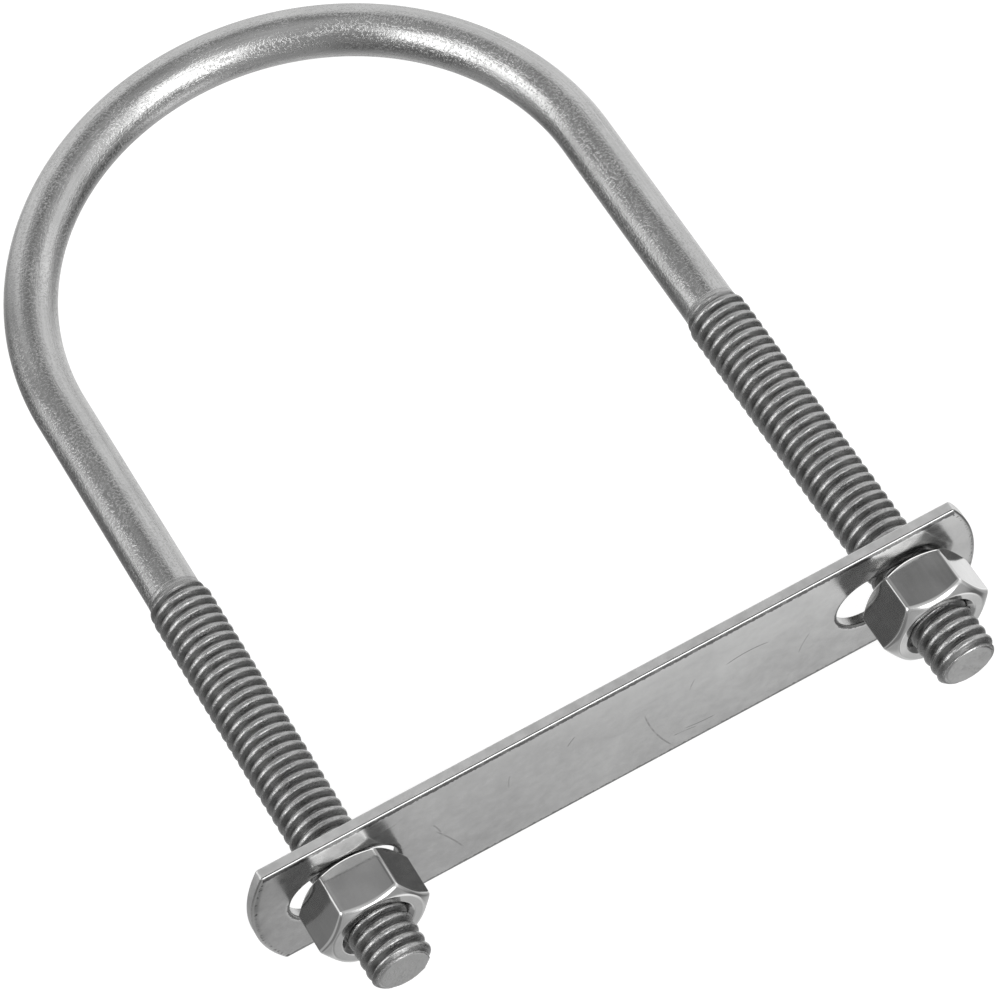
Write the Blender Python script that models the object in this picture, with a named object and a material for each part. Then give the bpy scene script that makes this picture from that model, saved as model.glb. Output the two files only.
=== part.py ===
"""U-bolt: a round rod bent to a U with two threaded legs, a flat slotted strap across the
legs and a hexagon nut on each leg.

Lengths are in millimetres until a mesh is made. The working frame has its origin at the
centre of the bend, X across the legs, the legs running along -Y, and Z up. At the end
everything is set down with the middle of its footprint at the world origin.
"""
import math

import bmesh
import bpy
from mathutils import Matrix, Vector
from mathutils.geometry import tessellate_polygon

MM = 0.001

# Rod
SHANK_R = 3.333
LEG_X = 36.54
THREAD_START = 30.0
LEFT_LEG_END = 86.8
RIGHT_LEG_END = 87.9
END_FACE_R = 3.15
BOW_STEPS = 28

# Thread: 18 to the inch, right hand
PITCH = 25.4 / 18.0
CREST_R = 3.867
ROOT_R = 2.98
CREST_FLAT = PITCH / 8.0
RUN_OUT = 1.5 * PITCH
LEFT_THREAD_PHASE = -0.323
RIGHT_THREAD_PHASE = 0.463
SIDES = 16
LINES_PER_TURN = 3
RING_MARGIN = 0.12

# Strap
STRAP_X = -0.743
STRAP_HALF_LENGTH = 44.57
STRAP_HALF_WIDTH = 10.07
STRAP_END_R = 21.04
STRAP_THICKNESS = 1.45
STRAP_NEAR_Y = -74.24
STRAP_YAW = -0.0102
STRAP_SWING = -0.0086
END_ARC_STEPS = 16
SLOT_X = 35.58
SLOT_HALF_LENGTH = 6.91
SLOT_HALF_WIDTH = 4.45
SLOT_ARC_STEPS = 12
# How far each edge is cut back, and at what distance from the bow-side face
OUTER_EDGE = ((0.0, 0.15), (0.15, 0.0), (1.0, 0.0), (1.32, 0.15), (1.45, 0.5))
SLOT_EDGE = ((0.0, 0.15), (0.15, 0.0), (1.15, 0.0), (1.45, 0.3))

# Nuts
NUT_FLATS = 12.25
NUT_HEIGHT = 6.75
NUT_GAP_LEFT = 0.12
NUT_GAP_RIGHT = 0.56
NUT_FACE_R = 5.71
NUT_CHAMFER_RISE = 0.85
NUT_CHAMFER_RUN = 1.35
NUT_TURN_LEFT = math.radians(-1.05)
NUT_TURN_RIGHT = math.radians(1.43)
CHAMFER_SIDES = 48
NUT_GROOVE_R = 4.05
NUT_RIDGE_R = 3.18
NUT_GROOVE_FLAT = 0.202
COUNTERSINK_R = 4.45
CUTTER_OVERRUN = 0.6


def clear_scene():
    """Remove every object and its mesh."""
    for obj in list(bpy.data.objects):
        bpy.data.objects.remove(obj, do_unlink=True)
    for mesh in list(bpy.data.meshes):
        bpy.data.meshes.remove(mesh)


def steel(name, colour, roughness):
    """A plain metal material."""
    mat = bpy.data.materials.new(name)
    mat.use_nodes = True
    shader = mat.node_tree.nodes["Principled BSDF"]
    shader.inputs["Base Color"].default_value = (*colour, 1.0)
    shader.inputs["Metallic"].default_value = 1.0
    shader.inputs["Roughness"].default_value = roughness
    return mat


def make_object(name, points, faces, material=None):
    """A closed mesh object from points in millimetres, with its faces turned outwards."""
    mesh = bpy.data.meshes.new(name)
    mesh.from_pydata([Vector(p) * MM for p in points], [], faces)
    bm = bmesh.new()
    bm.from_mesh(mesh)
    bmesh.ops.recalc_face_normals(bm, faces=bm.faces)
    bm.to_mesh(mesh)
    bm.free()
    obj = bpy.data.objects.new(name, mesh)
    bpy.context.collection.objects.link(obj)
    if material:
        mesh.materials.append(material)
    return obj


def smooth_round_faces(obj, angle):
    """Shade the mesh smooth, with a sharp edge wherever it turns by more than angle."""
    obj.data.shade_smooth()
    obj.data.set_sharp_from_angle(angle=math.radians(angle))


def as_cutter(obj):
    """Hide a helper solid that only cuts another one."""
    obj.hide_render = True
    obj.display_type = "WIRE"
    return obj


def smoothstep(t):
    t = min(max(t, 0.0), 1.0)
    return t * t * (3.0 - 2.0 * t)


def thread_column(angle, phase, first, last, offsets, radius):
    """The break points of a right-hand thread down one side of a leg.

    angle is the side, from +X towards +Z. Each point is (line id, distance down the leg,
    radius), and a line id follows one edge of the thread round the leg. offsets are the
    edges' distances from the crest's middle, one for each line of a turn.
    """
    lead = phase + PITCH * angle / (2.0 * math.pi)
    points = []
    turn = math.floor((first - lead) / PITCH) - 1
    while lead + turn * PITCH < last + PITCH:
        for line, offset in enumerate(offsets):
            s = lead + turn * PITCH + offset
            if first + RING_MARGIN < s < last - RING_MARGIN:
                points.append((turn * len(offsets) + line, s, radius(line, s)))
        turn += 1
    return points


def zip_columns(a, b, faces):
    """Skin the strip between two columns of (line id, vertex)."""
    i = 0
    k = 0
    while i < len(a) - 1 or k < len(b) - 1:
        next_a = a[i + 1][0] if i < len(a) - 1 else math.inf
        next_b = b[k + 1][0] if k < len(b) - 1 else math.inf
        both_last = i == len(a) - 2 and k == len(b) - 2
        if next_a == next_b and (next_a < math.inf or both_last):
            faces.append((a[i][1], b[k][1], b[k + 1][1], a[i + 1][1]))
            i += 1
            k += 1
        elif k == len(b) - 1 or (next_a < next_b and i < len(a) - 1):
            faces.append((a[i][1], b[k][1], a[i + 1][1]))
            i += 1
        else:
            faces.append((a[i][1], b[k][1], b[k + 1][1]))
            k += 1


def threaded_skin(points, faces, start_ring, end_ring, place, angles, turn_sign, spec):
    """Skin a thread between two rings of vertices that are already in points."""
    phase, first, last, offsets, radius = spec
    columns = []
    for j, angle in enumerate(angles):
        column = [(-math.inf, start_ring[j])]
        for line, s, r in thread_column(angle, phase, first, last, offsets, radius):
            column.append((line, len(points)))
            points.append(place(angle, s, r))
        column.append((math.inf, end_ring[j]))
        columns.append(column)
    # once round the leg, each line has moved on by a whole turn
    shift = -turn_sign * len(offsets)
    columns.append([(line + shift, vertex) for line, vertex in columns[0]])
    for a, b in zip(columns, columns[1:]):
        zip_columns(a, b, faces)


def thread_offsets(flat):
    """Both edges of the crest and the middle of the root, from the crest's middle."""
    return (-flat / 2.0, flat / 2.0, PITCH / 2.0)


def build_rod(material):
    """The bent rod: one skin from the left leg's end, round the bend, to the right's."""
    points = []
    faces = []
    turns = [2.0 * math.pi * j / SIDES for j in range(SIDES)]

    def ring(centre, radial, r):
        start = len(points)
        for turn in turns:
            out = radial * math.cos(turn) + Vector((0.0, 0.0, 1.0)) * math.sin(turn)
            points.append(centre + out * r)
        return list(range(start, start + SIDES))

    def skin(low, high):
        for j in range(SIDES):
            k = (j + 1) % SIDES
            faces.append((low[j], low[k], high[k], high[j]))

    rings = []
    left = Vector((-1.0, 0.0, 0.0))
    right = Vector((1.0, 0.0, 0.0))
    rings.append(ring(Vector((-LEG_X, -THREAD_START, 0.0)), left, SHANK_R))
    for step in range(BOW_STEPS + 1):
        bend = math.pi * (1.0 - step / BOW_STEPS)
        radial = Vector((math.cos(bend), math.sin(bend), 0.0))
        rings.append(ring(radial * LEG_X, radial, SHANK_R))
    rings.append(ring(Vector((LEG_X, -THREAD_START, 0.0)), right, SHANK_R))
    for low, high in zip(rings, rings[1:]):
        skin(low, high)

    legs = (
        (-1.0, left, LEFT_LEG_END, LEFT_THREAD_PHASE, rings[0]),
        (1.0, right, RIGHT_LEG_END, RIGHT_THREAD_PHASE, rings[-1]),
    )
    for side, radial, end, phase, start_ring in legs:

        def radius(line, s):
            full = ROOT_R if line == LINES_PER_TURN - 1 else CREST_R
            grown = SHANK_R + (full - SHANK_R) * smoothstep((s - THREAD_START) / RUN_OUT)
            return min(grown, END_FACE_R + (end - s))

        def place(angle, s, r):
            x = side * LEG_X + r * math.cos(angle)
            return Vector((x, -s, r * math.sin(angle)))

        end_ring = ring(Vector((side * LEG_X, -end, 0.0)), radial, END_FACE_R)
        angles = [turn if side > 0 else math.pi - turn for turn in turns]
        spec = (phase, THREAD_START, end, thread_offsets(CREST_FLAT), radius)
        threaded_skin(points, faces, start_ring, end_ring, place, angles, side, spec)
        faces.append(tuple(end_ring))

    rod = make_object("u_rod", points, faces, material)
    smooth_round_faces(rod, 38.0)
    return rod


def strap_outline(cut):
    """The strap's outline, cut back all round by cut."""
    half = STRAP_HALF_WIDTH - cut
    end_r = STRAP_END_R - cut
    full_reach = math.sqrt(STRAP_END_R**2 - STRAP_HALF_WIDTH**2)
    centre = STRAP_HALF_LENGTH - full_reach
    sweep = math.asin(half / end_r)
    loop = []
    for side in (1.0, -1.0):
        for step in range(END_ARC_STEPS + 1):
            a = sweep * (2.0 * step / END_ARC_STEPS - 1.0)
            x = centre + end_r * math.cos(a)
            loop.append((side * x, side * end_r * math.sin(a)))
    return loop


def slot_outline(centre, cut):
    """A slot's outline, opened out all round by cut."""
    r = SLOT_HALF_WIDTH + cut
    reach = SLOT_HALF_LENGTH - SLOT_HALF_WIDTH
    loop = []
    for side in (1.0, -1.0):
        for step in range(SLOT_ARC_STEPS + 1):
            a = math.pi * (step / SLOT_ARC_STEPS - 0.5)
            x = centre + side * (reach + r * math.cos(a))
            loop.append((x, side * r * math.sin(a)))
    return loop


def build_strap(material):
    """The flat strap: two faces joined by the walls of the outline and both slots."""
    points = []
    faces = []
    walls = (
        (OUTER_EDGE, strap_outline),
        (SLOT_EDGE, lambda cut: slot_outline(-SLOT_X, cut)),
        (SLOT_EDGE, lambda cut: slot_outline(SLOT_X, cut)),
    )
    bow_face = []
    nut_face = []
    for levels, outline in walls:
        loops = []
        for depth, cut in levels:
            y = STRAP_THICKNESS - depth
            start = len(points)
            loop = outline(cut)
            points.extend(Vector((x, y, z)) for x, z in loop)
            loops.append(list(range(start, start + len(loop))))
        for low, high in zip(loops, loops[1:]):
            count = len(low)
            for j in range(count):
                k = (j + 1) % count
                faces.append((low[j], low[k], high[k], high[j]))
        bow_face.append(loops[0])
        nut_face.append(loops[-1])
    for face in (bow_face, nut_face):
        flat = [[Vector((points[v].x, points[v].z, 0.0)) for v in loop] for loop in face]
        order = [v for loop in face for v in loop]
        for triangle in tessellate_polygon(flat):
            faces.append(tuple(order[corner] for corner in triangle))
    strap = make_object("strap_plate", points, faces, material)
    smooth_round_faces(strap, 22.0)
    swing = Matrix.Rotation(-STRAP_SWING, 3, "Y")
    yaw = Matrix.Rotation(STRAP_YAW, 3, "Z")
    centre = yaw @ swing @ Vector((STRAP_X, STRAP_NEAR_Y, 0.0))
    strap.location = centre * MM
    strap.rotation_euler = (0.0, -STRAP_SWING, STRAP_YAW)
    return strap


def nut_seat(side):
    """How far down its leg a nut's inner face is: the left one is almost home."""
    face_y = STRAP_NEAR_Y / math.cos(STRAP_YAW) + side * LEG_X * math.tan(STRAP_YAW)
    return (NUT_GAP_LEFT if side < 0.0 else NUT_GAP_RIGHT) - face_y


def build_nut(name, side, turn, phase, material):
    """A chamfered hexagon nut, threaded to ride on its leg's own thread.

    The nut's own frame has its origin on the leg's axis at the nut's inner face, and
    the nut runs from there along -Y.
    """
    seat = nut_seat(side)
    corner_r = NUT_FLATS / 2.0 / math.cos(math.pi / 6.0)
    points = []
    for y in (0.0, -NUT_HEIGHT):
        for k in range(6):
            a = turn + k * math.pi / 3.0
            points.append(Vector((corner_r * math.cos(a), y, corner_r * math.sin(a))))
    faces = [tuple(range(6)), tuple(range(11, 5, -1))]
    for k in range(6):
        j = (k + 1) % 6
        faces.append((k, j, 6 + j, 6 + k))
    nut = make_object(name, points, faces, material)

    # A turned blank cuts the corners of both faces back to a cone
    profile = (
        (NUT_FACE_R, 0.0),
        (NUT_FACE_R + NUT_CHAMFER_RUN, -NUT_CHAMFER_RISE),
        (NUT_FACE_R + NUT_CHAMFER_RUN, NUT_CHAMFER_RISE - NUT_HEIGHT),
        (NUT_FACE_R, -NUT_HEIGHT),
    )
    points = []
    faces = []
    for r, y in profile:
        for j in range(CHAMFER_SIDES):
            a = 2.0 * math.pi * j / CHAMFER_SIDES
            points.append(Vector((r * math.cos(a), y, r * math.sin(a))))
    for ring in range(len(profile) - 1):
        for j in range(CHAMFER_SIDES):
            k = (j + 1) % CHAMFER_SIDES
            low = ring * CHAMFER_SIDES
            high = low + CHAMFER_SIDES
            faces.append((low + j, low + k, high + k, high + j))
    faces.append(tuple(range(CHAMFER_SIDES)))
    faces.append(tuple(range(3 * CHAMFER_SIDES, 4 * CHAMFER_SIDES)))
    blank = as_cutter(make_object(name + "_blank", points, faces))

    # The tap: flats are opened out so that their middles clear the rod as its corners do
    open_out = 1.0 / math.cos(math.pi / SIDES)
    low_s = -CUTTER_OVERRUN
    high_s = NUT_HEIGHT + CUTTER_OVERRUN

    def radius(line, s):
        thread = NUT_RIDGE_R if line == LINES_PER_TURN - 1 else NUT_GROOVE_R
        sink = COUNTERSINK_R - min(s, NUT_HEIGHT - s)
        return max(thread, sink) * open_out

    def place(angle, s, r):
        return Vector((r * math.cos(angle), -s, r * math.sin(angle)))

    points = []
    faces = []
    angles = [2.0 * math.pi * j / SIDES for j in range(SIDES)]
    mouth_r = (COUNTERSINK_R + CUTTER_OVERRUN) * open_out
    rings = []
    for s in (low_s, high_s):
        start = len(points)
        points.extend(place(angle, s, mouth_r) for angle in angles)
        rings.append(list(range(start, start + SIDES)))
    spec = (phase - seat, low_s, high_s, thread_offsets(NUT_GROOVE_FLAT), radius)
    threaded_skin(points, faces, rings[0], rings[1], place, angles, 1.0, spec)
    faces.append(tuple(rings[0]))
    faces.append(tuple(rings[1]))
    tap = as_cutter(make_object(name + "_tap", points, faces))

    for label, operation, cutter in (
        ("chamfer", "INTERSECT", blank),
        ("thread", "DIFFERENCE", tap),
    ):
        cut = nut.modifiers.new(label, "BOOLEAN")
        cut.operation = operation
        cut.solver = "EXACT"
        cut.object = cutter
    at = Vector((side * LEG_X, -seat, 0.0)) * MM
    for obj in (nut, blank, tap):
        obj.location = at
    return nut


def set_down(bodies):
    """Move everything so that its footprint's middle is at the origin, resting on Z = 0."""
    bpy.context.view_layer.update()
    corners = []
    for obj in bodies:
        corners.extend(obj.matrix_world @ vertex.co for vertex in obj.data.vertices)
    low = Vector([min(c[axis] for c in corners) for axis in range(3)])
    high = Vector([max(c[axis] for c in corners) for axis in range(3)])
    middle = (low + high) / 2.0
    shift = Vector((-middle.x, -middle.y, -low.z))
    for obj in bpy.data.objects:
        obj.location = obj.location + shift


def main():
    clear_scene()
    rod = build_rod(steel("rod_steel", (0.62, 0.62, 0.61), 0.28))
    strap = build_strap(steel("strap_steel", (0.60, 0.60, 0.59), 0.33))
    nut_steel = steel("nut_steel", (0.58, 0.58, 0.57), 0.22)
    build_nut("left_nut", -1.0, NUT_TURN_LEFT, LEFT_THREAD_PHASE, nut_steel)
    build_nut("right_nut", 1.0, NUT_TURN_RIGHT, RIGHT_THREAD_PHASE, nut_steel)
    set_down((rod, strap))


main()
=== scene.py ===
"""Looks for the U-bolt: fine meshes of the rod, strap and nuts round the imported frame."""
import math

import bmesh
import bpy
from mathutils import Matrix, Vector
from mathutils.geometry import tessellate_polygon


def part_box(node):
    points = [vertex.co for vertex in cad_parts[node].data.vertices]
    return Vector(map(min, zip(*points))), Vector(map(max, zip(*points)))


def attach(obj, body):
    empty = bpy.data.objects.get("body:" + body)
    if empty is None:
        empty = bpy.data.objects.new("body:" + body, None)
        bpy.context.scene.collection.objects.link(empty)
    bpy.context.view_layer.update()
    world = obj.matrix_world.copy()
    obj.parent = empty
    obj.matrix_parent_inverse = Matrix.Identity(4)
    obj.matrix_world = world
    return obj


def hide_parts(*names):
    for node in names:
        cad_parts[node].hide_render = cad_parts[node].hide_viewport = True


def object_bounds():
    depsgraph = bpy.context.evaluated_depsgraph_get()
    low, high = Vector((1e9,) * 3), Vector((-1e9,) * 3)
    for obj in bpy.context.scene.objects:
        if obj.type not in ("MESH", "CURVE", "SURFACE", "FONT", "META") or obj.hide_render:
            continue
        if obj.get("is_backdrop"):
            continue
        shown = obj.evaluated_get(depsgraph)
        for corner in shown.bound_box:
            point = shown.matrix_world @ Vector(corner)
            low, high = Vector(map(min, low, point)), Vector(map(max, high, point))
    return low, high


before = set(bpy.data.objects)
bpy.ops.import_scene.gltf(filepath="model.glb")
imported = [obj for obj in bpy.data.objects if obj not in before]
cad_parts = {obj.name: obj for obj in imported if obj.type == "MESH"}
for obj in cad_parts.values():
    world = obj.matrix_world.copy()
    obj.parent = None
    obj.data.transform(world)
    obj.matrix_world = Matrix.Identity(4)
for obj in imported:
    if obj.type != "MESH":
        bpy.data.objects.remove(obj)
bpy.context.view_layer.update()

MM = 0.001

# Sizes of the design, in millimetres
SHANK_R = 3.333
LEG_X = 36.54
THREAD_START = 30.0
LEG_ENDS = {-1.0: 86.8, 1.0: 87.9}
PITCH = 25.4 / 18.0
CREST_R = 3.867
ROOT_R = 2.98
RUN_OUT = 1.5 * PITCH
PHASES = {-1.0: -0.323, 1.0: 0.463}
END_FACE_R = 3.15
END_CHAMFER_SLOPE = 0.9

# Rolled thread: a broad rounded crest, straight flanks and a tight root
CREST_ROUND = 0.27
CREST_DROP = 0.09
FLANK_SLOPE = 1.732
ROOT_ROUND = 0.10
ROOT_LIFT = 0.02
THREAD_LINES = (
    -0.66, -0.60, -0.54, -0.42, -0.32, -0.27, -0.20, -0.10,
    0.0, 0.10, 0.20, 0.27, 0.32, 0.42, 0.54, 0.60, 0.66,
)

STRAP_HALF_LENGTH = 44.565
STRAP_HALF_WIDTH = 10.07
STRAP_END_R = 21.04
STRAP_THICKNESS = 1.45
STRAP_CORNER_R = 0.35
STRAP_YAW = -0.0102
STRAP_SWING = -0.0086
SLOT_X = 35.58
SLOT_HALF_LENGTH = 6.91
SLOT_HALF_WIDTH = 4.45

NUT_FLATS = 12.25
NUT_HEIGHT = 6.75
NUT_CHAMFERS = {-1.0: (5.80, 0.58), 1.0: (5.65, 0.71)}
NUT_TURNS = {-1.0: math.radians(-1.05), 1.0: math.radians(1.43)}
NUT_CORNER_ROUND = 0.5
NUT_ARRIS = 0.36
COUNTERSINK_R = 4.6
NUT_GROOVE_R = 4.05
NUT_BORE_R = 3.2
NUT_GROOVE_FLAT = 0.10
NUT_FLANK_RUN = PITCH / 2.0 - 0.12
NUT_LINES = (-0.60, -0.42, -0.25, -0.10, 0.10, 0.25, 0.42, 0.60)

# Wear rises from the nuts' threads to their arrises; 2 marks the rod's sheared ends
NUT_THREAD_WEAR = 0.1
NUT_FACE_WEAR = 0.6
NUT_CONE_WEAR = 0.7
NUT_SINK_WEAR = 0.9
ARRIS_WEAR = 1.0
CUT_WEAR = 2.0

# Resolution
COLUMNS = 64
BOW_STEPS = 150
LEG_STEPS = 6

rod_low, rod_high = (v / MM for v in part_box("u_rod"))
CENTRE = Vector(
    (
        (rod_low.x + rod_high.x) / 2.0,
        rod_high.y - LEG_X - SHANK_R,
        (rod_low.z + rod_high.z) / 2.0,
    )
)


def smoothstep(t):
    """A soft step from 0 to 1 as t goes from 0 to 1."""
    t = min(max(t, 0.0), 1.0)
    return t * t * (3.0 - 2.0 * t)


def finish_mesh(name, points, faces, grain=None, wear_and_shade=None, at=None):
    """An object from points in millimetres, faces turned outwards and shaded smooth."""
    mesh = bpy.data.meshes.new(name)
    mesh.from_pydata([Vector(p) * MM for p in points], [], faces)
    if grain is not None:
        attribute = mesh.attributes.new("grain", "FLOAT_VECTOR", "POINT")
        attribute.data.foreach_set("vector", [v for vector in grain for v in vector])
    if wear_and_shade is not None:
        attribute = mesh.attributes.new("wear_and_shade", "FLOAT", "POINT")
        attribute.data.foreach_set("value", wear_and_shade)
    bm = bmesh.new()
    bm.from_mesh(mesh)
    bmesh.ops.recalc_face_normals(bm, faces=bm.faces)
    bm.to_mesh(mesh)
    bm.free()
    mesh.shade_smooth()
    obj = bpy.data.objects.new(name, mesh)
    bpy.context.scene.collection.objects.link(obj)
    if at is not None:
        obj.matrix_world = at
    return obj


def zip_columns(a, b, faces):
    """Skin the strip between two columns of (line id, vertex)."""
    i = 0
    k = 0
    while i < len(a) - 1 or k < len(b) - 1:
        next_a = a[i + 1][0] if i < len(a) - 1 else math.inf
        next_b = b[k + 1][0] if k < len(b) - 1 else math.inf
        both_last = i == len(a) - 2 and k == len(b) - 2
        if next_a == next_b and (next_a < math.inf or both_last):
            faces.append((a[i][1], b[k][1], b[k + 1][1], a[i + 1][1]))
            i += 1
            k += 1
        elif k == len(b) - 1 or (next_a < next_b and i < len(a) - 1):
            faces.append((a[i][1], b[k][1], a[i + 1][1]))
            i += 1
        else:
            faces.append((a[i][1], b[k][1], b[k + 1][1]))
            k += 1


def thread_columns(angles, spec, first, last, margin, add):
    """Columns of a helical skin between two distances along the axis.

    spec is (phase, offsets, radius): the crest's distance at angle 0, each line's
    distance from the crest's middle, and a function of (offset, distance) for its radius.
    """
    phase, offsets, radius = spec
    columns = []
    for j, angle in enumerate(angles):
        lead = phase + PITCH * angle / (2.0 * math.pi)
        turn = math.floor((first - lead) / PITCH) - 1
        column = []
        while lead + turn * PITCH < last + PITCH:
            for line, offset in enumerate(offsets):
                s = lead + turn * PITCH + offset
                if first + margin < s < last - margin:
                    made = add(j, s, radius(offset, s), offset, turn)
                    column.append((turn * len(offsets) + line, made))
            turn += 1
        columns.append(column)
    return columns


def skin_thread(columns, first_ring, last_ring, shift, faces):
    """Close columns on both rings and skin them all the way round."""
    full = []
    for j, column in enumerate(columns):
        full.append([(-math.inf, first_ring[j])] + column + [(math.inf, last_ring[j])])
    full.append([(line + shift, vertex) for line, vertex in full[0]])
    for a, b in zip(full, full[1:]):
        zip_columns(a, b, faces)


def rolled_radius(offset):
    """The thread's radius at a distance from its crest's middle."""
    t = abs((offset + PITCH / 2.0) % PITCH - PITCH / 2.0)
    if t < CREST_ROUND:
        return CREST_R - CREST_DROP * (t / CREST_ROUND) ** 2
    flank = CREST_R - CREST_DROP - FLANK_SLOPE * (t - CREST_ROUND)
    gap = flank - (ROOT_R + ROOT_LIFT)
    return ROOT_R + ROOT_LIFT + (gap + math.sqrt(gap * gap + ROOT_ROUND**2)) / 2.0


def build_rod():
    """The bent bar with a fading helical thread and a chamfered end on each leg."""
    points = []
    grain = []
    wear_and_shade = []
    faces = []
    turns = [2.0 * math.pi * j / COLUMNS for j in range(COLUMNS)]
    up = Vector((0.0, 0.0, 1.0))

    def add(point, streak, polish_and_shade):
        points.append(point)
        grain.append(streak)
        wear_and_shade.append(polish_and_shade)
        return len(points) - 1

    def ring(centre, radial, r, along, polish_and_shade=1.0):
        out = []
        for turn in turns:
            flat = Vector((math.cos(turn), math.sin(turn))) * r
            streak = (along, flat.x, flat.y)
            out.append(add(centre + radial * flat.x + up * flat.y, streak, polish_and_shade))
        return out

    def skin(low, high):
        for j in range(COLUMNS):
            k = (j + 1) % COLUMNS
            faces.append((low[j], low[k], high[k], high[j]))

    arc = math.pi * LEG_X
    left = Vector((-1.0, 0.0, 0.0))
    right = Vector((1.0, 0.0, 0.0))
    rings = []
    for step in range(LEG_STEPS + 1):
        y = -THREAD_START * (1.0 - step / LEG_STEPS)
        centre = CENTRE + Vector((-LEG_X, y, 0.0))
        rings.append(ring(centre, left, SHANK_R, y))
    for step in range(1, BOW_STEPS):
        bend = math.pi * (1.0 - step / BOW_STEPS)
        radial = Vector((math.cos(bend), math.sin(bend), 0.0))
        rings.append(ring(CENTRE + radial * LEG_X, radial, SHANK_R, arc * step / BOW_STEPS))
    for step in range(LEG_STEPS + 1):
        y = -THREAD_START * step / LEG_STEPS
        centre = CENTRE + Vector((LEG_X, y, 0.0))
        rings.append(ring(centre, right, SHANK_R, arc - y))
    for low, high in zip(rings, rings[1:]):
        skin(low, high)

    for side, radial, start_ring in ((-1.0, left, rings[0]), (1.0, right, rings[-1])):
        end = LEG_ENDS[side]
        angles = [turn if side > 0 else math.pi - turn for turn in turns]

        def grown_at(s):
            return smoothstep((s - THREAD_START) / RUN_OUT)

        def radius(offset, s):
            grown = SHANK_R + (rolled_radius(offset) - SHANK_R) * grown_at(s)
            # the end is chamfered, and the chamfer's foot is worn round
            chamfer = END_FACE_R + 0.1 + (end - s) * END_CHAMFER_SLOPE
            return min(grown, chamfer)

        def add_point(j, s, r, offset, turn):
            angle = angles[j]
            x = side * LEG_X + r * math.cos(angle)
            point = CENTRE + Vector((x, -s, r * math.sin(angle)))
            wound = (2.0 * math.pi * turn + angle) * SHANK_R
            phase = 2.0 * math.pi * offset / PITCH
            reel = PITCH / (2.0 * math.pi)
            streak = (wound, reel * math.cos(phase), reel * math.sin(phase))
            # the thread's height becomes polish_and_shade, which the material uses to darken
            # the grooves with grime and painted shade
            high = min(max((r - ROOT_R) / (CREST_R - ROOT_R), 0.0), 1.0)
            return add(point, streak, 1.0 + (high - 1.0) * grown_at(s))

        spec = (PHASES[side], THREAD_LINES, radius)
        columns = thread_columns(angles, spec, THREAD_START, end - 0.16, 0.05, add_point)
        closing = []
        for inset, back in ((0.0, 0.16), (0.09, 0.05), (0.22, 0.0), (0.4, 0.0)):
            centre = CENTRE + Vector((side * LEG_X, back - end, 0.0))
            polish_and_shade = 1.0 if back else CUT_WEAR
            closing.append(ring(centre, radial, END_FACE_R - inset, 0.0, polish_and_shade))
        skin_thread(columns, start_ring, closing[0], -side * len(THREAD_LINES), faces)
        for low, high in zip(closing, closing[1:]):
            skin(low, high)
        tip = CENTRE + Vector((side * LEG_X, -end, 0.0))
        inner = closing[-1]
        for share in (0.66, 0.33):
            next_ring = ring(tip, radial, (END_FACE_R - 0.4) * share, 0.0, CUT_WEAR)
            skin(inner, next_ring)
            inner = next_ring
        middle = add(tip, (0.0, 0.0, 0.0), CUT_WEAR)
        for j in range(COLUMNS):
            faces.append((inner[j], inner[(j + 1) % COLUMNS], middle))
    return finish_mesh("bent_rod", points, faces, grain, wear_and_shade)


def strap_outline(cut, arc_steps=40, corner_steps=6):
    """The strap's outline, cut back all round by cut, with its corners rounded."""
    half = STRAP_HALF_WIDTH - cut
    end_r = STRAP_END_R - cut
    corner_r = max(STRAP_CORNER_R - cut, 0.06)
    reach = STRAP_HALF_LENGTH - math.sqrt(STRAP_END_R**2 - STRAP_HALF_WIDTH**2)
    corner_z = half - corner_r
    corner_x = math.sqrt((end_r - corner_r) ** 2 - corner_z**2)
    sweep = math.atan2(corner_z, corner_x)
    loop = []
    for side in (1.0, -1.0):
        quarter = []
        for step in range(1, arc_steps // 2 + 1):
            a = sweep * step / (arc_steps // 2)
            quarter.append((end_r * math.cos(a), end_r * math.sin(a)))
        for step in range(1, corner_steps + 1):
            a = sweep + (math.pi / 2.0 - sweep) * step / corner_steps
            x = corner_x + corner_r * math.cos(a)
            quarter.append((x, corner_z + corner_r * math.sin(a)))
        for back in (0.15, 0.6, 8.0, 20.0):
            # inner loops swell by microns, so the flat face has no sliver of zero area
            swell = 0.002 * cut * back / (reach + corner_x)
            quarter.append((corner_x - back, half + swell))
        ring = [(x, -z) for x, z in quarter[::-1]] + [(end_r, 0.0)] + quarter
        loop.extend((side * (reach + x), side * z) for x, z in ring)
    return loop


def slot_outline(centre, cut, arc_steps=28):
    r = SLOT_HALF_WIDTH + cut
    reach = SLOT_HALF_LENGTH - SLOT_HALF_WIDTH
    loop = []
    for side in (1.0, -1.0):
        for step in range(arc_steps + 1):
            a = math.pi * (step / arc_steps - 0.5)
            loop.append((centre + side * (reach + r * math.cos(a)), side * r * math.sin(a)))
    return loop


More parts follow.
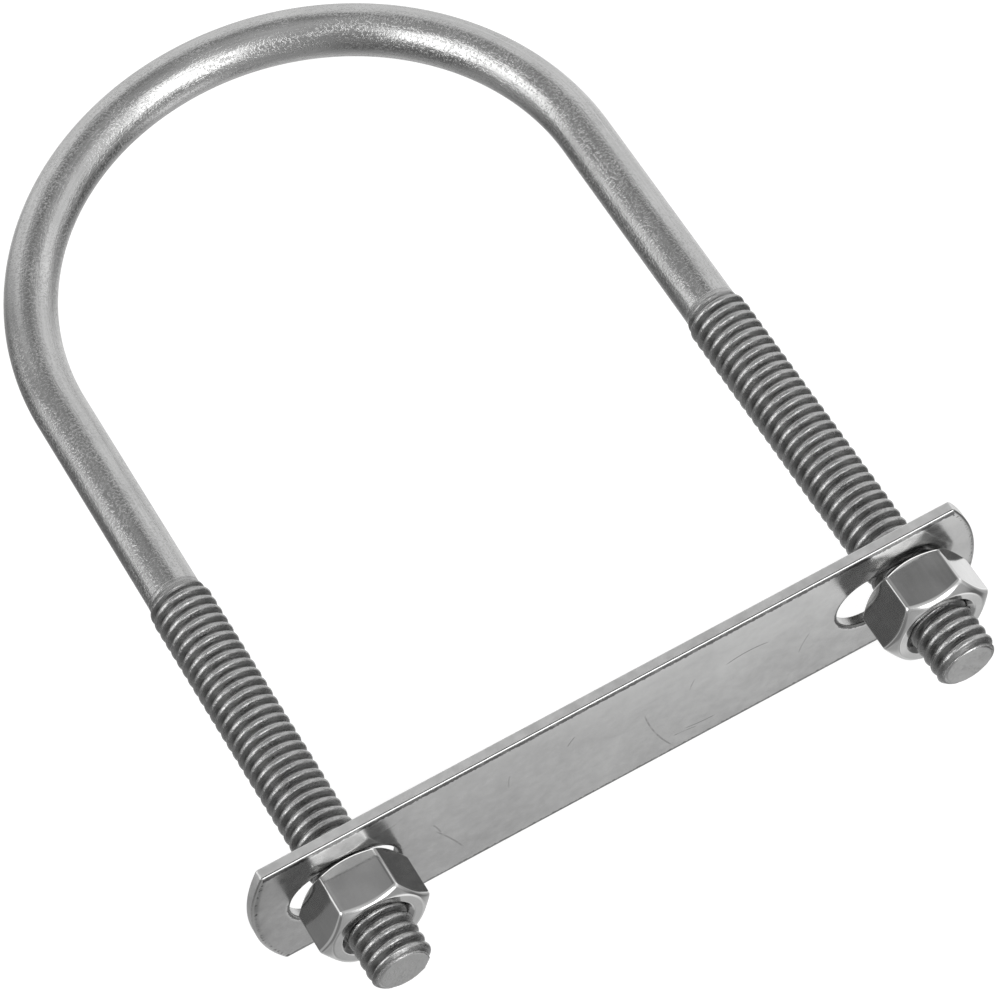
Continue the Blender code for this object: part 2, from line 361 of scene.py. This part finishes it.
def edge_levels(roll, burr, wall=1.0, bevel=0.11):
    """(distance from the bow-side face, cut, wear) down a pressed edge.

    The bow side, where the press leaves its burr, is nearly sharp. On the nut side a crisp
    arris falls to a narrow bevel and then rolls over gently on to the face. The last value
    is wall on the sheared edge, 0.55 on the bow side and near 0 on two lines beside the
    bevel, where the strap's material paints dark lines of reflected shade.
    """
    flat = STRAP_THICKNESS - bevel - 0.10
    levels = [(0.0, burr + 0.25, 0.55), (0.0, burr, 0.55), (burr, 0.0, wall)]
    # the low last values at flat - 0.05 and flat mark the first painted dark reflection line
    levels += [(burr + 0.06, 0.0, wall), (flat - 0.12, 0.0, wall), (flat - 0.05, 0.0, 0.05)]
    levels += [(flat, 0.0, 0.0), (flat + 0.04, 0.025, 0.6)]
    levels += [(flat + bevel, bevel * 0.85 + 0.02, 0.6)]
    reach = roll - bevel
    # the roll's low values mark the second, ragged painted dark reflection line
    for share, sunk, wear_and_shade in (
        (0.15, 0.066, 0.2),
        (0.35, 0.045, 0.0),
        (0.6, 0.025, 0.05),
        (0.85, 0.012, 0.3),
    ):
        levels.append((STRAP_THICKNESS - sunk, bevel + reach * share, wear_and_shade))
    return levels


def build_strap(turned):
    """Points, faces and wear and painted-shade values of the strap, its small tilt already in
    the points.
    """
    points = []
    wear_and_shade = []
    faces = []
    outer = edge_levels(0.82, 0.06)
    # the face is crowned a little towards its edges
    for cut, sunk in ((0.9, 0.008), (1.6, 0.004), (2.6, 0.0), (3.0, 0.0)):
        outer.append((STRAP_THICKNESS - sunk, cut, 0.5))
    slot = edge_levels(0.46, 0.06, 0.66)
    slot += [(STRAP_THICKNESS, 0.56, 0.5), (STRAP_THICKNESS, 0.8, 0.5)]
    walls = (
        (outer, strap_outline),
        (slot, lambda cut: slot_outline(-SLOT_X, cut)),
        (slot, lambda cut: slot_outline(SLOT_X, cut)),
    )
    bow_face = []
    nut_face = []
    for levels, outline in walls:
        loops = []
        for depth, cut, level_wear_and_shade in levels:
            start = len(points)
            loop = outline(cut)
            points.extend(Vector((x, STRAP_THICKNESS - depth, z)) for x, z in loop)
            # the painted dark reflection lines beside the roll are made lighter at the ends
            # than along the long edges
            at_end = [abs(z) < STRAP_HALF_WIDTH - cut - 0.05 for _, z in loop]
            end_wear_and_shade = max(level_wear_and_shade, min(0.5, level_wear_and_shade * 0.4 + 0.33))
            wear_and_shade.extend(end_wear_and_shade if outer is levels and end else level_wear_and_shade for end in at_end)
            loops.append(list(range(start, start + len(loop))))
        for low, high in zip(loops, loops[1:]):
            for j in range(len(low)):
                k = (j + 1) % len(low)
                faces.append((low[j], low[k], high[k], high[j]))
        bow_face.append(loops[0])
        nut_face.append(loops[-1])
    for face in (bow_face, nut_face):
        flat = [[Vector((points[v].x, points[v].z, 0.0)) for v in loop] for loop in face]
        order = [v for loop in face for v in loop]
        for triangle in tessellate_polygon(flat):
            faces.append(tuple(order[corner] for corner in triangle))
    return [turned @ p for p in points], faces, wear_and_shade


def hexagon_r(angle):
    """The rounded hexagon's radius in one direction, with a corner at angle 0."""
    apothem = NUT_FLATS / 2.0
    off_corner = (angle + math.pi / 6.0) % (math.pi / 3.0) - math.pi / 6.0
    far = (apothem - NUT_CORNER_ROUND) / math.cos(math.pi / 6.0)
    tangent = math.atan2(
        NUT_CORNER_ROUND * math.sin(math.pi / 6.0),
        far + NUT_CORNER_ROUND * math.cos(math.pi / 6.0),
    )
    if abs(off_corner) > tangent:
        return apothem / math.cos(math.pi / 6.0 - abs(off_corner))
    s = far * math.sin(off_corner)
    return far * math.cos(off_corner) + math.sqrt(NUT_CORNER_ROUND**2 - s * s)


def nut_angles():
    """Directions round the nut, closer together at the corners."""
    out = []
    for k in range(6):
        corner = k * math.pi / 3.0
        for step in range(-12, 12):
            t = step / 12.0
            spread = math.copysign(abs(t) ** 1.6, t)
            out.append(corner + spread * math.pi / 6.0)
    return out


def build_nut(name, side, seat_at):
    """A nut whose inner face is at seat_at, in phase with its leg's thread."""
    points = []
    faces = []
    wear_and_shade = []
    local = nut_angles()
    count = len(local)
    angles = [a + NUT_TURNS[side] for a in local]

    def each(value):
        """One value for every direction."""
        return value if isinstance(value, list) else [value] * count

    def add(angle, s, r, high):
        points.append(Vector((r * math.cos(angle), -s, r * math.sin(angle))))
        wear_and_shade.append(high)
        return len(points) - 1

    def ring(s, radii, high):
        rows = zip(angles, each(s), each(radii))
        return [add(angle, at, r, high) for angle, at, r in rows]

    def skin(low, high):
        for j in range(count):
            k = (j + 1) % count
            faces.append((low[j], low[k], high[k], high[j]))

    hexes = [hexagon_r(a) for a in local]
    inner_first = ring(0.0, COUNTERSINK_R, NUT_SINK_WEAR)
    inner_last = ring(NUT_HEIGHT, COUNTERSINK_R, NUT_SINK_WEAR)

    def radius(offset, s):
        t = abs((offset + PITCH / 2.0) % PITCH - PITCH / 2.0)
        deep = NUT_GROOVE_R - NUT_BORE_R
        groove = NUT_GROOVE_R - max(t - NUT_GROOVE_FLAT, 0.0) * deep / NUT_FLANK_RUN
        sink = COUNTERSINK_R - min(s, NUT_HEIGHT - s)
        return max(groove, NUT_BORE_R, sink)

    def add_point(j, s, r, offset, turn):
        return add(angles[j], s, r, NUT_THREAD_WEAR)

    seat_s = -seat_at.y + CENTRE.y
    face_r, slope = NUT_CHAMFERS[side]
    spec = (PHASES[side] - seat_s, NUT_LINES, radius)
    columns = thread_columns(angles, spec, 0.0, NUT_HEIGHT, 0.05, add_point)
    skin_thread(columns, inner_first, inner_last, -len(NUT_LINES), faces)

    def rim(flip, arris):
        """Rings from a face's countersink over its chamfer and arris to the flats."""
        rows = []

        def place(s, radii, high):
            depths = [NUT_HEIGHT - v for v in each(s)] if flip else each(s)
            rows.append(ring(depths, radii, high))

        place(0.0, COUNTERSINK_R + 0.10, NUT_FACE_WEAR)
        place(0.0, face_r - 0.25, NUT_FACE_WEAR)
        place(0.0, face_r - 0.08, NUT_SINK_WEAR)
        place(0.03, face_r + 0.03, ARRIS_WEAR)
        rise = [(h - face_r) * slope for h in hexes]
        foot = [min(arris, (h - face_r) * 0.6) for h in hexes]
        spans = [h - f - face_r for h, f in zip(hexes, foot)]
        for share in (0.3, 0.65, 0.93, 1.0):
            radii = [face_r + max(span * share, 0.05) for span in spans]
            place([(r - face_r) * slope for r in radii], radii, NUT_CONE_WEAR)
        # a quadratic curve rounds the arris from the cone on to the flat
        for t in (0.2, 0.4, 0.6, 0.8, 1.0):
            radii = [h - f * (1.0 - t) ** 2 for h, f in zip(hexes, foot)]
            drops = [
                v - f * slope * (1.0 - t) ** 2 + arris * t * t
                for v, f in zip(rise, foot)
            ]
            place(drops, radii, ARRIS_WEAR)
        place([v + arris + 0.05 for v in rise], hexes, NUT_FACE_WEAR)
        return rows

    first = rim(False, NUT_ARRIS / 3.0)
    last = rim(True, NUT_ARRIS)
    chain = [inner_first] + first + last[::-1] + [inner_last]
    for low, high in zip(chain, chain[1:]):
        skin(low, high)
    at = Matrix.Translation(seat_at * MM)
    return finish_mesh(name, points, faces, wear_and_shade=wear_and_shade, at=at)


# Materials


class Graph:
    """A node tree being built; each method adds a node and returns its output socket."""

    def __init__(self, tree):
        self.nodes = tree.nodes
        self.links = tree.links

    def link(self, output, node, name):
        self.links.new(output, node.inputs[name])

    def coordinate(self, name):
        return self.nodes.new("ShaderNodeTexCoord").outputs[name]

    def attribute(self, name, output):
        node = self.nodes.new("ShaderNodeAttribute")
        node.attribute_name = name
        return node.outputs[output]

    def noise(self, vector, scale, detail=4.0, roughness=0.55):
        node = self.nodes.new("ShaderNodeTexNoise")
        node.inputs["Scale"].default_value = scale
        node.inputs["Detail"].default_value = detail
        node.inputs["Roughness"].default_value = roughness
        self.link(vector, node, "Vector")
        return node.outputs["Fac"]

    def stretched(self, vector, scale):
        node = self.nodes.new("ShaderNodeMapping")
        node.inputs["Scale"].default_value = scale
        self.link(vector, node, "Vector")
        return node.outputs["Vector"]

    def stretched_noise(self, vector, scale, detail, roughness=0.55):
        return self.noise(self.stretched(vector, scale), 1.0, detail, roughness)

    def split(self, vector):
        node = self.nodes.new("ShaderNodeSeparateXYZ")
        self.link(vector, node, "Vector")
        return node.outputs

    def ramp(self, value, low, high, out_low=0.0, out_high=1.0):
        node = self.nodes.new("ShaderNodeMapRange")
        node.inputs["From Min"].default_value = low
        node.inputs["From Max"].default_value = high
        node.inputs["To Min"].default_value = out_low
        node.inputs["To Max"].default_value = out_high
        self.link(value, node, "Value")
        return node.outputs["Result"]

    def math(self, operation, *terms):
        node = self.nodes.new("ShaderNodeMath")
        node.operation = operation
        for socket, term in zip(node.inputs, terms):
            if isinstance(term, (int, float)):
                socket.default_value = term
            else:
                self.links.new(term, socket)
        return node.outputs["Value"]

    def add(self, a, b):
        return self.math("ADD", a, b)

    def subtract(self, a, b):
        return self.math("SUBTRACT", a, b)

    def multiply(self, a, b):
        return self.math("MULTIPLY", a, b)

    def maximum(self, a, b):
        return self.math("MAXIMUM", a, b)

    def grey_mix(self, fac, low, high):
        node = self.nodes.new("ShaderNodeMix")
        node.data_type = "RGBA"
        node.inputs["A"].default_value = (low, low, low * WARMTH, 1.0)
        node.inputs["B"].default_value = (high, high, high * WARMTH, 1.0)
        self.link(fac, node, "Factor")
        return node.outputs["Result"]

    def shaded(self, colour, keep):
        """A colour multiplied by a grey."""
        node = self.nodes.new("ShaderNodeMix")
        node.data_type = "RGBA"
        node.blend_type = "MULTIPLY"
        node.inputs["Factor"].default_value = 1.0
        self.link(colour, node, "A")
        self.link(keep, node, "B")
        return node.outputs["Result"]

    def bump(self, height, strength, distance, below=None):
        node = self.nodes.new("ShaderNodeBump")
        node.inputs["Strength"].default_value = strength
        node.inputs["Distance"].default_value = distance
        self.link(height, node, "Height")
        if below is not None:
            self.link(below, node, "Normal")
        return node.outputs["Normal"]


# Blue over red in every grey of the metal
WARMTH = 0.995


def new_metal(name):
    """A metallic material, its graph and its shader."""
    mat = bpy.data.materials.new(name)
    mat.use_nodes = True
    shader = mat.node_tree.nodes["Principled BSDF"]
    shader.inputs["Metallic"].default_value = 1.0
    return mat, Graph(mat.node_tree), shader


def rod_material():
    """Drawn bar: fine streaks along its length, pits and scuffs, thread darkened by grime and
    painted shade.
    """
    mat, g, shader = new_metal("rod_steel")
    grain = g.attribute("grain", "Vector")
    wear_and_shade = g.attribute("wear_and_shade", "Fac")
    place = g.coordinate("Object")
    streak = g.stretched_noise(grain, (0.06, 3.0, 3.0), 5.0, 0.6)
    fine = g.stretched_noise(grain, (0.4, 6.0, 6.0), 3.0, 0.6)
    wave = g.stretched_noise(grain, (0.14, 0.8, 0.8), 3.0, 0.5)
    cloud = g.noise(place, 170.0, 6.0, 0.65)
    speck = g.noise(place, 3200.0, 3.0, 0.6)
    patch = g.stretched_noise(grain, (0.10, 0.5, 0.5), 4.0, 0.6)
    pitted = g.multiply(g.ramp(speck, 0.50, 0.66), g.ramp(patch, 0.40, 0.66, 0.35, 1.0))
    # the grain's cross part is short in the thread and a shank radius long elsewhere
    _, across, over = g.split(grain)
    reach = g.math("SQRT", g.add(g.multiply(across, across), g.multiply(over, over)))
    cut = g.ramp(wear_and_shade, 1.2, 1.8, 0.0, 1.0)
    threaded = g.ramp(reach, 1.5, 0.5)
    threaded = g.multiply(threaded, g.ramp(cut, 0.0, 1.0, 1.0, 0.0))
    chatter = g.stretched_noise(grain, (1.3, 7.0, 7.0), 3.0, 0.65)
    rubbed = g.multiply(threaded, g.ramp(chatter, 0.35, 0.65))
    flank = g.ramp(wear_and_shade, 0.90, 0.82, 0.0, 1.0)
    # painted shade: the thread's roots are darkened in colour, partly grime and partly the
    # shade that falls in the grooves
    root_grime_and_shade = g.ramp(wear_and_shade, 0.45, 0.10, 0.0, 1.0)
    tone = g.ramp(streak, 0.3, 0.7, 0.0, 0.4)
    tone = g.add(tone, g.ramp(cloud, 0.3, 0.7, 0.1, 0.6))
    tone = g.subtract(tone, g.ramp(pitted, 0.0, 1.0, 0.0, 0.3))
    scored = g.multiply(flank, g.ramp(fine, 0.35, 0.65, 0.5, 0.0))
    tone = g.subtract(tone, scored)
    tone = g.subtract(tone, g.multiply(rubbed, 0.45))
    # painted shade: flanks and roots are made darker, partly a grimier rolled finish and
    # partly shade in the thread's grooves
    shade = g.ramp(flank, 0.0, 1.0, 1.0, 0.80)
    shade = g.subtract(shade, g.multiply(threaded, 0.15))
    shade = g.subtract(shade, g.multiply(root_grime_and_shade, 0.26))
    shade = g.subtract(shade, g.multiply(cut, 0.08))
    colour = g.grey_mix(tone, 0.48, 0.64)
    g.link(g.shaded(colour, shade), shader, "Base Color")
    rough = g.ramp(fine, 0.3, 0.7, 0.12, 0.20)
    rough = g.add(rough, g.ramp(pitted, 0.0, 1.0, 0.0, 0.12))
    rough = g.add(rough, g.multiply(flank, 0.12))
    rough = g.add(rough, g.multiply(cut, 0.2))
    g.link(rough, shader, "Roughness")
    normal = g.bump(wave, 0.6, 0.00012)
    normal = g.bump(fine, 0.5, 0.00003, normal)
    normal = g.bump(pitted, 0.6, 0.00005, normal)
    normal = g.bump(rubbed, 0.6, 0.00003, normal)
    g.link(normal, shader, "Normal")
    return mat


# Height of the crown in tenths of a millimetre for each square metre off the middle
STRAP_CROWN = 17450.0
# From the middle of a scuff to its side, in mm, and the squared share where it fades
SCUFF_EDGE = (0.04, 0.15)
SCUFF_FADE = (0.55, 1.0)
SCUFFS = (
    # along and across the strap, half length, bow, turn in degrees, depth
    (16.9, 3.3, 2.9, 0.45, 0.0, 1.0),
    (4.3, -4.0, 5.6, -0.55, -74.0, 0.75),
    (9.9, -6.8, 2.1, -0.15, -9.0, 0.8),
    (7.9, -6.9, 1.6, 0.10, -12.0, 0.7),
    (9.6, 2.6, 1.1, 0.10, 66.0, 0.5),
    (-22.4, -2.6, 3.6, 0.15, -68.0, 0.6),
    (-23.6, 1.2, 1.4, 0.10, -75.0, 0.5),
    (-6.0, 4.4, 0.9, 0.05, 50.0, 0.6),
    (-14.2, 3.0, 1.3, 0.10, 80.0, 0.35),
    (24.0, -1.6, 1.8, 0.15, 62.0, 0.45),
    (-30.0, 6.6, 2.2, 0.10, 14.0, 0.4),
)


def strap_material():
    """Cold-rolled strip: satin, softly clouded, fine curved scuffs and painted dark
    reflection lines by the bevel.
    """
    mat, g, shader = new_metal("strap_steel")
    place = g.coordinate("Object")
    grain = g.stretched_noise(place, (400.0, 900.0, 1300.0), 3.0)
    cloud = g.noise(place, 110.0, 4.0, 0.55)
    mottle = g.noise(place, 620.0, 3.0, 0.6)
    x_at, _, z_at = g.split(place)
    scuffs_and_painted_lines = 0.0
    for x, z, half, bow, turned, depth in SCUFFS:
        cos = math.cos(math.radians(turned)) / MM
        sin = math.sin(math.radians(turned)) / MM
        dx = g.subtract(x_at, x * MM)
        dz = g.subtract(z_at, z * MM)
        along = g.add(g.multiply(dx, cos), g.multiply(dz, sin))
        across = g.subtract(g.multiply(dz, cos), g.multiply(dx, sin))
        share = g.multiply(along, 1.0 / half)
        curve = g.multiply(share, share)
        off = g.math("ABSOLUTE", g.subtract(across, g.multiply(curve, -bow)))
        line = g.ramp(off, *SCUFF_EDGE, 1.0, 0.0)
        fade = g.ramp(curve, *SCUFF_FADE, depth, 0.0)
        scuffs_and_painted_lines = g.maximum(scuffs_and_painted_lines, g.multiply(line, fade))
    broken = g.ramp(mottle, 0.38, 0.5, 0.35, 1.0)
    scuffs_and_painted_lines = g.multiply(scuffs_and_painted_lines, broken)
    wear_and_shade = g.attribute("wear_and_shade", "Fac")
    scuffs_and_painted_lines = g.multiply(scuffs_and_painted_lines, g.ramp(wear_and_shade, 0.51, 0.54, 1.0, 0.0))
    # painted reflection: where the value is low beside the bevel, two broken dark lines stand
    # in for reflected shade
    fringe = g.noise(place, 2600.0, 2.0, 0.6)
    fringe = g.ramp(fringe, 0.3, 0.7, -0.16, 0.16)
    edge = g.add(wear_and_shade, fringe)
    painted_dark_lines = g.ramp(edge, 0.335, 0.2, 0.0, 1.4)
    painted_dark_lines = g.multiply(painted_dark_lines, g.ramp(mottle, 0.3, 0.5, 0.7, 1.0))
    scuffs_and_painted_lines = g.maximum(scuffs_and_painted_lines, painted_dark_lines)
    sheared = g.ramp(wear_and_shade, 0.6, 0.9)
    tone = g.ramp(cloud, 0.3, 0.7, 0.0, 0.6)
    tone = g.add(tone, g.ramp(mottle, 0.3, 0.7, 0.0, 0.4))
    bright = g.multiply(sheared, 0.30)
    colour = g.grey_mix(g.add(tone, bright), 0.51, 0.68)
    keep = g.ramp(scuffs_and_painted_lines, 0.0, 1.4, 1.0, 0.23)
    keep = g.add(keep, g.multiply(sheared, 0.22))
    g.link(g.shaded(colour, keep), shader, "Base Color")
    rough = g.ramp(mottle, 0.3, 0.7, 0.15, 0.24)
    rough = g.add(rough, g.multiply(sheared, 0.28))
    g.link(rough, shader, "Roughness")
    # strip from a coil is crowned by about two degrees at its edges
    crown = g.multiply(g.multiply(z_at, z_at), -STRAP_CROWN)
    normal = g.bump(crown, 1.0, 0.0001)
    normal = g.bump(grain, 0.2, 0.000006, normal)
    normal = g.bump(mottle, 0.15, 0.00002, normal)
    normal = g.bump(cloud, 0.10, 0.0001, normal)
    g.link(normal, shader, "Normal")
    return mat


def nut_material():
    """Machined nut: bright rims, flats gently uneven, darker thread."""
    mat, g, shader = new_metal("nut_steel")
    place = g.coordinate("Object")
    wear_and_shade = g.attribute("wear_and_shade", "Fac")
    cloud = g.noise(place, 260.0, 4.0, 0.55)
    swell = g.noise(place, 110.0, 1.0, 0.4)
    grain = g.stretched_noise(place, (3000.0, 150.0, 3000.0), 3.0)
    tone = g.ramp(wear_and_shade, 0.0, 1.0, 0.0, 0.8)
    tone = g.add(tone, g.ramp(cloud, 0.3, 0.7, 0.0, 0.2))
    g.link(g.grey_mix(tone, 0.40, 0.92), shader, "Base Color")
    rough = g.ramp(grain, 0.3, 0.7, 0.08, 0.14)
    g.link(rough, shader, "Roughness")
    normal = g.bump(swell, 0.5, 0.0006)
    normal = g.bump(grain, 0.08, 0.00001, normal)
    normal = g.bump(cloud, 0.08, 0.0001, normal)
    g.link(normal, shader, "Normal")
    return mat


# Build

rod = build_rod()
rod.data.materials.append(rod_material())
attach(rod, "rod")
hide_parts("u_rod")

strap_low, strap_high = (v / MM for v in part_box("strap_plate"))
turned_strap = Matrix.Rotation(STRAP_YAW, 4, "Z") @ Matrix.Rotation(-STRAP_SWING, 4, "Y")
middle = (strap_low + strap_high) / 2.0
half_thick = turned_strap @ Vector((0.0, STRAP_THICKNESS / 2.0, 0.0))
strap_at = Matrix.Translation((middle - half_thick) * MM)
strap_points, strap_faces, strap_wear_and_shade = build_strap(turned_strap)
strap = finish_mesh("strap", strap_points, strap_faces, wear_and_shade=strap_wear_and_shade, at=strap_at)
strap.data.materials.append(strap_material())
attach(strap, "strap")
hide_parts("strap_plate")

nut_steel = nut_material()
for side, cad_node, body in ((-1.0, "left_nut", "nut_left"), (1.0, "right_nut", "nut_right")):
    low, high = (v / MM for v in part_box(cad_node))
    seat = Vector((CENTRE.x + side * LEG_X, high.y, CENTRE.z))
    nut = build_nut(cad_node + "_fine", side, seat)
    nut.data.materials.append(nut_steel)
    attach(nut, body)
    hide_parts(cad_node)

# Stage: a pale floor and white dome that only the camera sees, under a studio sky


def paper_material(name, albedo, glow):
    mat = bpy.data.materials.new(name)
    mat.use_nodes = True
    shader = mat.node_tree.nodes["Principled BSDF"]
    shader.inputs["Base Color"].default_value = (albedo, albedo, albedo, 1.0)
    shader.inputs["Roughness"].default_value = 1.0
    shader.inputs["Specular IOR Level"].default_value = 0.0
    shader.inputs["Emission Color"].default_value = (1.0, 1.0, 1.0, 1.0)
    shader.inputs["Emission Strength"].default_value = glow
    return mat


def build_stage():
    """A flat floor, and a white dome that closes the view above its rim."""
    bm = bmesh.new()
    bmesh.ops.create_circle(bm, cap_ends=True, segments=96, radius=FLOOR_REACH)
    floor_mesh = bpy.data.meshes.new("floor")
    bm.to_mesh(floor_mesh)
    bm.free()
    bm = bmesh.new()
    bmesh.ops.create_uvsphere(bm, u_segments=48, v_segments=32, radius=FLOOR_REACH * 0.99)
    dome_mesh = bpy.data.meshes.new("dome")
    bm.to_mesh(dome_mesh)
    bm.free()
    for mesh, glow, albedo in ((floor_mesh, FLOOR_GLOW, FLOOR_ALBEDO), (dome_mesh, 1.0, 0.0)):
        mesh.materials.append(paper_material(mesh.name + "_paper", albedo, glow))
        obj = bpy.data.objects.new(mesh.name, mesh)
        bpy.context.scene.collection.objects.link(obj)
        obj.visible_glossy = False
        obj.visible_shadow = False
        obj.visible_diffuse = False
        obj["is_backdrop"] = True


def build_sky():
    """A grey studio sky; a panel is a soft-edged patch in azimuth and angle from zenith."""
    world = bpy.data.worlds.new("studio")
    world.use_nodes = True
    g = Graph(world.node_tree)
    east, north, up = g.split(g.coordinate("Generated"))
    azimuth = g.math("ARCTAN2", north, east)
    polar = g.math("ARCCOSINE", up)

    def patch(angle, centre, half, soft):
        apart = g.math("ABSOLUTE", g.subtract(angle, math.radians(centre)))
        inner = math.radians(half - soft)
        fall = g.ramp(apart, inner, math.radians(half + soft), 1.0, 0.0)
        fall.node.interpolation_type = "SMOOTHSTEP"
        return fall

    total = SKY_LEVEL
    for facing, half_wide, fade, down, half_high, edge, light in SKY_PANELS:
        away = g.subtract(azimuth, math.radians(facing))
        mask = patch(g.math("WRAP", away, math.pi, -math.pi), 0.0, half_wide, fade)
        tall = patch(polar, down, half_high, edge)
        mask = g.multiply(mask, tall)
        total = g.add(total, g.multiply(mask, light))
    total = g.maximum(total, SKY_FLOOR)
    background = g.nodes["Background"]
    background.inputs["Color"].default_value = (1.0, 1.0, 1.0, 1.0)
    g.link(total, background, "Strength")
    bpy.context.scene.world = world


FLOOR_REACH = 4.0
FLOOR_ALBEDO = 0.3
FLOOR_GLOW = 0.86
SKY_LEVEL = 0.39
SKY_FLOOR = 0.05
SKY_PANELS = (
    # azimuth, half width, fade, angle from zenith, half height, fade, light
    (0.0, 200.0, 1.0, 0.0, 12.0, 12.0, 0.16),
    (0.0, 200.0, 1.0, 180.0, 24.0, 10.0, 0.25),
    (180.0, 26.0, 9.0, 45.0, 15.0, 8.0, 1.7),
    (163.0, 16.0, 8.0, 70.0, 18.0, 7.0, 0.9),
    (-75.0, 20.0, 7.0, 60.0, 23.0, 6.0, 2.4),
    (-75.0, 42.0, 15.0, 27.0, 14.0, 8.0, 0.22),
    (-57.0, 10.0, 5.0, 33.0, 9.0, 5.0, 1.0),
    (-166.0, 13.0, 7.0, 61.0, 10.0, 6.0, 2.2),
    (-96.0, 9.0, 7.0, 96.0, 6.0, 5.0, 0.22),
    (60.0, 11.0, 8.0, 30.0, 7.0, 6.0, -0.16),
    (-88.0, 12.0, 8.0, 150.0, 12.0, 8.0, -0.15),
    (-22.0, 26.0, 14.0, 66.0, 27.0, 12.0, 0.45),
    (57.0, 60.0, 10.0, 75.0, 27.0, 5.0, 0.5),
    (60.0, 44.0, 8.0, 127.0, 25.0, 6.0, 0.36),
    (139.0, 16.0, 8.0, 121.0, 22.0, 9.0, -0.22),
    (-152.0, 25.0, 10.0, 106.0, 22.0, 8.0, -0.22),
    (37.0, 12.0, 8.0, 123.0, 12.0, 8.0, 0.22),
    (-137.0, 9.0, 7.0, 67.0, 11.0, 8.0, -0.14),
    (-66.0, 16.0, 9.0, 133.0, 17.0, 9.0, 0.60),
    (-28.0, 22.0, 8.0, 126.0, 18.0, 8.0, -0.24),
    (90.0, 50.0, 20.0, 36.0, 9.0, 6.0, -0.06),
)
build_stage()
build_sky()

# Camera: found from the perspective of the legs and the bend, in shank radii from the
# bend's centre
EYE = Vector((-26.269, -89.767, 135.874)) * SHANK_R
AZIMUTH = math.radians(-19.038)
ELEVATION = math.radians(58.729)
ROLL = math.radians(11.931)
# Focal length over the width of the image
FOCAL_SHARE = 4.519418
SENSOR = 36.0
FAR_CLIP = 20.0


def build_camera():
    forward = Vector(
        (
            -math.sin(AZIMUTH) * math.cos(ELEVATION),
            math.cos(AZIMUTH) * math.cos(ELEVATION),
            -math.sin(ELEVATION),
        )
    )
    flat_right = forward.cross(Vector((0.0, 0.0, 1.0))).normalized()
    flat_down = forward.cross(flat_right)
    right = flat_right * math.cos(ROLL) + flat_down * math.sin(ROLL)
    down = flat_down * math.cos(ROLL) - flat_right * math.sin(ROLL)
    data = bpy.data.cameras.new("camera")
    data.sensor_width = SENSOR
    data.lens = SENSOR * FOCAL_SHARE
    data.clip_end = FAR_CLIP
    camera = bpy.data.objects.new("camera", data)
    bpy.context.scene.collection.objects.link(camera)
    turned = Matrix((right, -down, -forward)).transposed().to_4x4()
    camera.matrix_world = Matrix.Translation((CENTRE + EYE) * MM) @ turned
    bpy.context.scene.camera = camera


build_camera()
bpy.context.scene.view_settings.view_transform = "Standard"

low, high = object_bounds()
